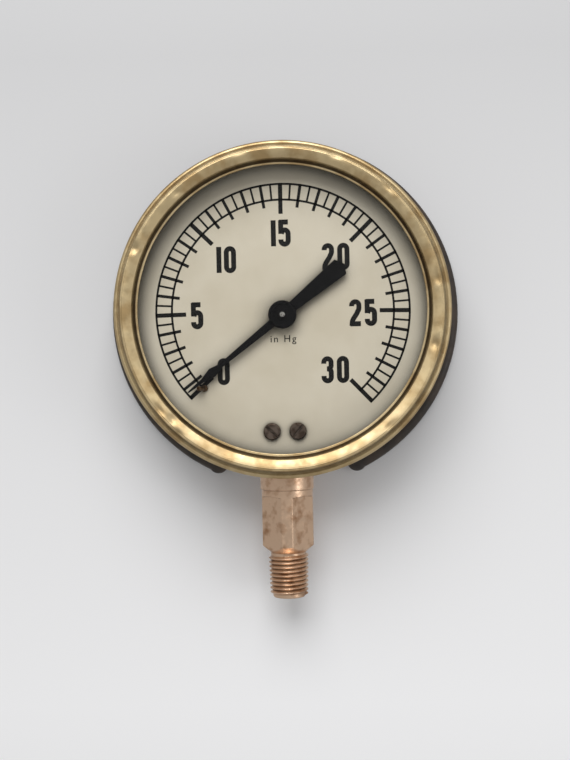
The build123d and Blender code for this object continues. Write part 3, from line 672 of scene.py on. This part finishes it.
# ---- dial ---------------------------------------------------------------------------------
class Digit(Enum):
    """Centre lines of condensed block digits: strokes, each a run of lines and arcs.

    Places are shares of the box round the digit's centre lines, 0 to 1 each way. A line is
    (x, y, x, y) and an arc is (centre x, y, half-width, half-height, first and last angle).
    """

    ZERO = ((("arc", 0.5, 0.83, 0.5, 0.17, 0, 180), ("line", 0.0, 0.83, 0.0, 0.17),
             ("arc", 0.5, 0.17, 0.5, 0.17, 180, 360), ("line", 1.0, 0.17, 1.0, 0.83)),)
    ONE = ((("line", 0.5, -0.09, 0.5, 1.09),),)
    TWO = ((("line", 0.0, 0.80, 0.0, 0.83), ("arc", 0.5, 0.83, 0.5, 0.17, 180, 0),
            ("line", 1.0, 0.83, 1.0, 0.76), ("arc", 0.1, 0.74, 0.9, 0.30, 0, -38),
            ("line", 0.72, 0.48, 0.2, 0.22), ("line", 0.06, 0.12, 0.0, -0.09)),
           (("line", -0.2, 0.0, 1.22, 0.0),))
    THREE = ((("line", 0.0, 0.78, 0.0, 0.83), ("arc", 0.5, 0.83, 0.5, 0.17, 180, 0),
              ("line", 1.0, 0.83, 1.0, 0.69), ("arc", 0.5, 0.69, 0.5, 0.15, 0, -75),
              ("line", 0.55, 0.54, 0.42, 0.54)),
             (("line", 0.42, 0.54, 0.55, 0.54), ("arc", 0.5, 0.39, 0.5, 0.15, 75, 0),
              ("line", 1.0, 0.39, 1.0, 0.17), ("arc", 0.5, 0.17, 0.5, 0.17, 0, -180),
              ("line", 0.0, 0.17, 0.0, 0.22)))
    FIVE = ((("line", 0.0, 1.09, 0.0, 0.47),),
            (("line", -0.2, 1.0, 1.0, 1.0),),
            (("line", 0.06, 0.48, 0.14, 0.55), ("arc", 0.5, 0.47, 0.5, 0.17, 140, 0),
             ("line", 1.0, 0.47, 1.0, 0.17), ("arc", 0.5, 0.17, 0.5, 0.17, 0, -180),
             ("line", 0.0, 0.17, 0.0, 0.21)))


DIGITS = {"0": Digit.ZERO, "1": Digit.ONE, "2": Digit.TWO, "3": Digit.THREE, "5": Digit.FIVE}


@dataclass(frozen=True)
class Numeral:
    """A printed number.

    Attributes:
        text: its digits.
        x: centre, right of the dial's centre, in millimetres.
        y: centre, above the dial's centre, in millimetres.
    """

    text: str
    x: float
    y: float


@dataclass
class Dial:
    """Dial plate, its print, screws and stop pin."""

    outer_arc_radius: float = 41.2
    inner_arc_radius: float = 36.1
    arc_width: float = 0.66
    unit_tick_inner: float = 33.8
    long_tick_inner: float = 31.5
    unit_tick_width: float = 0.95
    long_tick_width: float = 1.35
    half_tick_width: float = 0.62
    top_value: float = 15.0
    degrees_per_unit: float = 9.1
    first_unit_degrees: float = 4.9
    last_value: int = 30
    print_thickness: float = 0.03
    digit_height: float = 8.75
    digit_stroke: float = 1.6
    digit_width: float = 3.95
    one_width: float = 1.4
    digit_gap: float = 1.05
    unit_text_height: float = 2.3
    unit_text_drop: float = 10.2
    numerals: tuple[Numeral, ...] = (
        Numeral("0", -19.6, -19.4), Numeral("5", -27.9, -1.0), Numeral("10", -18.0, 17.0),
        Numeral("15", -0.1, 25.2), Numeral("20", 17.6, 17.2), Numeral("25", 26.1, -1.2),
        Numeral("30", 16.7, -19.5),
    )

    def mark_angle(self, value: np.ndarray) -> np.ndarray:
        """Angle of a scale value, in radians counter-clockwise from three o'clock.

        Formula: evenly spaced about the top value, but the first unit is compressed.

        Args:
            value: scale values.

        Returns:
            Their angles.
        """
        even = 90 + (self.top_value - value) * self.degrees_per_unit
        at_one = 90 + (self.top_value - 1) * self.degrees_per_unit
        return np.radians(np.where(value < 1, at_one + (1 - value) * self.first_unit_degrees, even))

    def ticks(self) -> tuple[np.ndarray, np.ndarray]:
        """Scale marks as thin boxes.

        Formula: each box spans two radii along its mark's direction, and half its width to
        each side of it.

        Returns:
            Points and faces.
        """
        value = np.concatenate([np.arange(0, self.last_value + 1),
                                np.arange(1, self.last_value) + 0.5])
        half = value % 1 > 0
        long = (value % 5 == 0) & ~half
        inner = np.where(half, self.inner_arc_radius,
                         np.where(long, self.long_tick_inner, self.unit_tick_inner))
        width = np.where(half, self.half_tick_width,
                         np.where(long, self.long_tick_width, self.unit_tick_width))
        outer = np.full(len(value), self.outer_arc_radius + self.arc_width / 2)
        angle = self.mark_angle(value)
        along = np.stack([np.cos(angle), np.sin(angle)], 1)
        side = np.stack([-np.sin(angle), np.cos(angle)], 1) * width[:, None] / 2
        corner = [along * inner[:, None] - side, along * outer[:, None] - side,
                  along * outer[:, None] + side, along * inner[:, None] + side]
        flat = np.stack(corner * 2, 1)
        level = Places.dial_face + np.repeat([0.0, self.print_thickness], 4)
        points = front_view(flat[..., 0], flat[..., 1], level[None, :])
        return points.reshape(-1, 3), box_faces(len(value))

    def stroke(self, path: np.ndarray, width: float, closed: bool,
               layer: int = 0) -> tuple[np.ndarray, np.ndarray]:
        """A flat stroke of ink carried along a path.

        Formula: a rectangle of the stroke's width and the print's thickness stands across the
        path at each point, square to the mean of its two neighbouring runs.

        Args:
            path: points of the centre line, in millimetres.
            width: the stroke's width.
            closed: whether the path's end joins its start.
            layer: number of strokes that this one may cross, so that no two faces coincide.

        Returns:
            Points and faces.
        """
        if closed:
            ahead, behind = np.roll(path, -1, 0), np.roll(path, 1, 0)
        else:
            ahead = np.concatenate([path[1:], path[-1:]])
            behind = np.concatenate([path[:1], path[:-1]])
        run = ahead - behind
        run /= np.linalg.norm(run, axis=1, keepdims=True)
        side = np.stack([-run[:, 1], run[:, 0]], 1) * width / 2
        flat = np.stack([path - side, path + side, path + side, path - side], 1)
        thickness = self.print_thickness * (1 + layer / 2)
        level = Places.dial_face + np.array([0, 0, 1, 1]) * thickness
        points = front_view(flat[..., 0], flat[..., 1], level[None, :]).reshape(-1, 3)
        faces = grid_faces(len(path), 4, closed, True)
        if not closed:
            last = 4 * (len(path) - 1)
            ends = [[3, 2, 1, 0], [last, last + 1, last + 2, last + 3]]
            faces = np.concatenate([faces, ends])
        return points, faces

    def arcs(self) -> list[tuple[np.ndarray, np.ndarray]]:
        """The two scale arcs, from the first mark to the last.

        Returns:
            Points and faces of each.
        """
        ends = self.mark_angle(np.array([0.0, float(self.last_value)]))
        edge = self.long_tick_width / 2 / self.outer_arc_radius
        angle = np.linspace(ends[0] + edge, ends[1] - edge, 361)
        circle = np.stack([np.cos(angle), np.sin(angle)], 1)
        return [self.stroke(circle * radius, self.arc_width, False)
                for radius in (self.outer_arc_radius, self.inner_arc_radius)]

    def digit_paths(self, digit: Digit, left: float, middle: float) -> list[np.ndarray]:
        """Centre lines of one digit, in place.

        Args:
            digit: which digit.
            left: its left edge, in millimetres.
            middle: its middle height, in millimetres.

        Returns:
            One path per stroke.
        """
        width = (self.one_width if digit is Digit.ONE else self.digit_width) - self.digit_stroke
        height = self.digit_height - self.digit_stroke
        paths = []
        for run in digit.value:
            spans = [self.span(*segment) for segment in run]
            unit = np.concatenate(spans)
            keep = np.concatenate([[True], np.abs(np.diff(unit, axis=0)).sum(1) > 1e-6])
            unit = unit[keep]
            corner = np.array([left + self.digit_stroke / 2, middle - height / 2])
            paths.append(corner + unit * np.array([max(width, 0.02), height]))
        return paths

    @staticmethod
    def span(kind: str, *numbers: float) -> np.ndarray:
        """Points of one straight or curved part of a digit's centre line.

        Formula: an arc is centre + (half-width cos, half-height sin) over its angles.

        Args:
            kind: "line" or "arc".
            *numbers: its end points, or its centre, half-sizes and angles.

        Returns:
            An array of points.
        """
        if kind == "line":
            return line(numbers[0:2], numbers[2:4], 4)
        x, y, wide, high, first, last = numbers
        angle = np.radians(np.linspace(first, last, 17))
        return np.stack([x + wide * np.cos(angle), y + high * np.sin(angle)], 1)

    def numbers(self) -> list[tuple[np.ndarray, np.ndarray]]:
        """All the printed numbers.

        Returns:
            Points and faces of each stroke.
        """
        strokes = []
        for numeral in self.numerals:
            widths = [self.one_width if mark == "1" else self.digit_width for mark in numeral.text]
            left = numeral.x - (sum(widths) + self.digit_gap * (len(widths) - 1)) / 2
            for mark, width in zip(numeral.text, widths):
                for layer, path in enumerate(self.digit_paths(DIGITS[mark], left, numeral.y)):
                    strokes.append(self.stroke(path, self.digit_stroke, mark == "0", layer))
                left += width + self.digit_gap
        return strokes

    def unit_text(self, materials: dict[str, bpy.types.Material]) -> None:
        """The unit under the shaft, as a thin raised print.

        Args:
            materials: shared materials by name.
        """
        curve = bpy.data.curves.new("unit_print", "FONT")
        curve.body = "in Hg"
        curve.size = self.unit_text_height * MM * 1.4
        curve.space_character = 1.25
        curve.align_x = "CENTER"
        curve.extrude = self.print_thickness * MM / 2
        curve.resolution_u = 6
        text = bpy.data.objects.new("unit_print_text", curve)
        bpy.context.collection.objects.link(text)
        mesh = bpy.data.meshes.new_from_object(text)
        bpy.data.objects.remove(text)
        flat = np.empty(3 * len(mesh.vertices), dtype=np.float32)
        mesh.vertices.foreach_get("co", flat)
        flat = flat.reshape(-1, 3) / MM
        places = front_view(flat[:, 0], flat[:, 1] - self.unit_text_drop,
                            Places.dial_face + self.print_thickness / 2 + flat[:, 2])
        mesh.vertices.foreach_set("co", places.astype(np.float32).ravel())
        mesh.update()
        piece = bpy.data.objects.new("unit_print", mesh)
        bpy.context.collection.objects.link(piece)
        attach(piece, BODY)
        put_on(piece, finish_material(materials, Finishes.DIAL_INK))

    def build(self, materials: dict[str, bpy.types.Material]) -> None:
        """Prints the scale and dresses the plate, its screws and the pin.

        Args:
            materials: shared materials by name.
        """
        dress(materials, "dial", Finishes.DIAL_LACQUER)
        dress(materials, "dial_screws", Finishes.BROWNED_STEEL)
        dress(materials, "stop_pin", Finishes.DARK_BRASS)
        for name, parts in (("scale_print", [self.ticks(), *self.arcs()]),
                            ("numeral_print", self.numbers())):
            starts = np.cumsum([0] + [len(points) for points, _ in parts[:-1]])
            points = np.concatenate([points for points, _ in parts])
            faces = np.concatenate([faces + start for (_, faces), start in zip(parts, starts)])
            piece = make_piece(name, points, faces, BODY, smooth=False)
            put_on(piece, finish_material(materials, Finishes.DIAL_INK))
            LOG.info("printed %s with %d faces", name, len(faces))
        self.unit_text(materials)


# ---- pointer, movement, tube and socket ---------------------------------------------------
@dataclass
class Pointer:
    """Black pointer, its hub and the bright end of the shaft."""

    def build(self, materials: dict[str, bpy.types.Material]) -> None:
        """Dresses the CAD nodes.

        Args:
            materials: shared materials by name.
        """
        dress(materials, "pointer", Finishes.POINTER_ENAMEL)
        dress(materials, "pointer_hub", Finishes.POINTER_ENAMEL)
        dress(materials, "pinion_arbor", Finishes.TURNED_STEEL)


@dataclass
class Movement:
    """Plates, gears, link, hairspring and Bourdon tube behind the dial."""

    finishes: dict[str, Finishes] = field(default_factory=lambda: {
        "sector_gear": Finishes.CLOCK_BRASS,
        "sector_arbor": Finishes.TURNED_STEEL,
        "link": Finishes.CLOCK_BRASS,
        "sector_link_pin": Finishes.TURNED_STEEL,
        "tip_link_pin": Finishes.TURNED_STEEL,
        "movement_back_plate": Finishes.CLOCK_BRASS,
        "movement_front_plate": Finishes.CLOCK_BRASS,
        "movement_pillars": Finishes.CLOCK_BRASS,
        "plate_screws": Finishes.BROWNED_STEEL,
        "movement_screws": Finishes.BROWNED_STEEL,
        "hairspring": Finishes.PHOSPHOR_BRONZE,
        "hairspring_collet": Finishes.CLOCK_BRASS,
        "hairspring_stud": Finishes.CLOCK_BRASS,
        "bourdon_tube": Finishes.PHOSPHOR_BRONZE,
        "tube_tip": Finishes.CLOCK_BRASS,
    })

    def build(self, materials: dict[str, bpy.types.Material]) -> None:
        """Dresses the CAD nodes.

        Args:
            materials: shared materials by name.
        """
        for node, finish in self.finishes.items():
            dress(materials, node, finish)


@dataclass
class Socket:
    """Stem with thread, wrench flats and collar."""

    def build(self, materials: dict[str, bpy.types.Material]) -> None:
        """Dresses the CAD node.

        Args:
            materials: shared materials by name.
        """
        dress(materials, "socket", Finishes.SOCKET_BRONZE)


# ---- studio -------------------------------------------------------------------------------
@dataclass
class Studio:
    """Pale surface behind the gauge, soft lamps and the camera."""

    camera_distance: float = 362.2
    camera_right: float = 12.0
    camera_drop: float = 21.0
    camera_roll: float = 1.21
    aim_right: float = 0.53
    aim_drop: float = 22.50
    focal_length: float = 53.86
    surface_size: float = 1600.0
    surface_gap: float = 0.6
    # Painted shade on the surface: pale at the bottom and darker at the top, blended over the span
    # of heights in millimetres.
    surface_shade_colours: tuple[str, str] = ("#f4f4f5", "#c6c6c7")
    surface_shade_span: tuple[float, float] = (-40.0, 185.0)

    def camera(self) -> None:
        """Camera facing the dial from a little to the reader's right."""
        data = bpy.data.cameras.new("camera")
        data.lens = self.focal_length
        data.clip_start, data.clip_end = 0.01, 10
        camera = bpy.data.objects.new("camera", data)
        bpy.context.collection.objects.link(camera)
        level = Places.bezel_front - 4.5
        place = front_view(np.array([self.camera_right, self.aim_right]),
                           np.array([-self.camera_drop, -self.aim_drop]),
                           np.array([level + self.camera_distance, level]))
        camera.location = Vector(place[0])
        look = Vector(place[1] - place[0]).to_track_quat("-Z", "Y")
        camera.rotation_mode = "QUATERNION"
        camera.rotation_quaternion = look @ Quaternion((0, 0, 1), math.radians(-self.camera_roll))
        bpy.context.scene.camera = camera

    def surface(self) -> None:
        """Pale surface that the gauge's back rests on, painted darker towards the top as painted
        shade.

        It is solid only where it is looked at from the front, so light still reaches the
        back of the case.
        """
        half = self.surface_size / 2
        corner = np.array([[-half, -half], [half, -half], [half, half], [-half, half]])
        level = Places.case_back - self.surface_gap
        points = front_view(corner[:, 0], corner[:, 1], np.full(4, level))
        mesh = bpy.data.meshes.new("surface")
        mesh.from_pydata([tuple(p) for p in points], [], [(0, 1, 2, 3)])
        surface = bpy.data.objects.new("surface", mesh)
        bpy.context.collection.objects.link(surface)
        material, tree = new_material("matt_white_board")
        # Painted shade: the board's colour darkens from bottom to top with height.
        place = add_node(tree, "ShaderNodeTexCoord", "Object")
        height = add_node(tree, "ShaderNodeSeparateXYZ", "Z", Vector=place)
        low, high = self.surface_shade_span
        fade = ramp(tree, height, low * MM, high * MM)
        colour = mix_colour(tree, fade, *(linear(shade) for shade in self.surface_shade_colours))
        shader = add_node(tree, "ShaderNodeBsdfPrincipled", Base_Color=colour, Roughness=0.7)
        behind = add_node(tree, "ShaderNodeNewGeometry", "Backfacing")
        front = add_node(tree, "ShaderNodeMath", operation="SUBTRACT", in0=1.0, in1=behind)
        looked = add_node(tree, "ShaderNodeLightPath", "Is Camera Ray")
        solid = add_node(tree, "ShaderNodeMath", operation="MULTIPLY", in0=front, in1=looked)
        clear = add_node(tree, "ShaderNodeBsdfTransparent")
        mixed = add_node(tree, "ShaderNodeMixShader", in0=solid, in1=clear, in2=shader)
        add_node(tree, "ShaderNodeOutputMaterial", Surface=mixed)
        put_on(surface, material)

    def lamp(self, name: str, place: tuple[float, float, float], size: float,
             power: float) -> None:
        """Square soft lamp aimed at the dial.

        Args:
            name: the lamp's name.
            place: right of, in front of and above the dial's centre, in millimetres.
            size: its side, in millimetres.
            power: its power in watts.
        """
        data = bpy.data.lights.new(name, "AREA")
        data.shape, data.size, data.energy = "SQUARE", size * MM, power
        lamp = bpy.data.objects.new(name, data)
        bpy.context.collection.objects.link(lamp)
        right, ahead, up = place
        where = Vector(front_view(np.array(right), np.array(up), np.array(ahead)))
        target = Vector((Places.centre_x, 0, Places.centre_z)) * MM
        lamp.location = where
        lamp.rotation_mode = "QUATERNION"
        lamp.rotation_quaternion = (target - where).to_track_quat("-Z", "Y")

    def world(self) -> None:
        """Even grey surroundings that the camera sees as pale."""
        world = bpy.data.worlds.new("studio")
        world.use_nodes = True
        tree = world.node_tree
        tree.nodes.clear()
        seen = add_node(tree, "ShaderNodeLightPath", "Is Camera Ray")
        room = add_node(tree, "ShaderNodeBackground", Color=linear("#ffffff"), Strength=0.46)
        pale = add_node(tree, "ShaderNodeBackground", Color=linear("#e6e6e6"), Strength=1.0)
        mixed = add_node(tree, "ShaderNodeMixShader", in0=seen, in1=room, in2=pale)
        add_node(tree, "ShaderNodeOutputWorld", Surface=mixed)
        bpy.context.scene.world = world

    def build(self) -> None:
        """Sets the scene and its colour management."""
        bpy.context.scene.view_settings.view_transform = "Standard"
        self.camera()
        self.surface()
        self.lamp("key_lamp", (-50, 560, 500), 560, 4.6)
        self.lamp("side_fill", (560, 420, -120), 300, 0.5)
        self.world()


def main() -> None:
    """Builds every sub-assembly in order, then the studio."""
    materials: dict[str, bpy.types.Material] = {}
    for assembly in (Case(), Bezel(), Dial(), Pointer(), Movement(), Socket()):
        assembly.build(materials)
        LOG.info("finished %s", type(assembly).__name__)
    Studio().build()


if __name__ == "__main__":
    main()
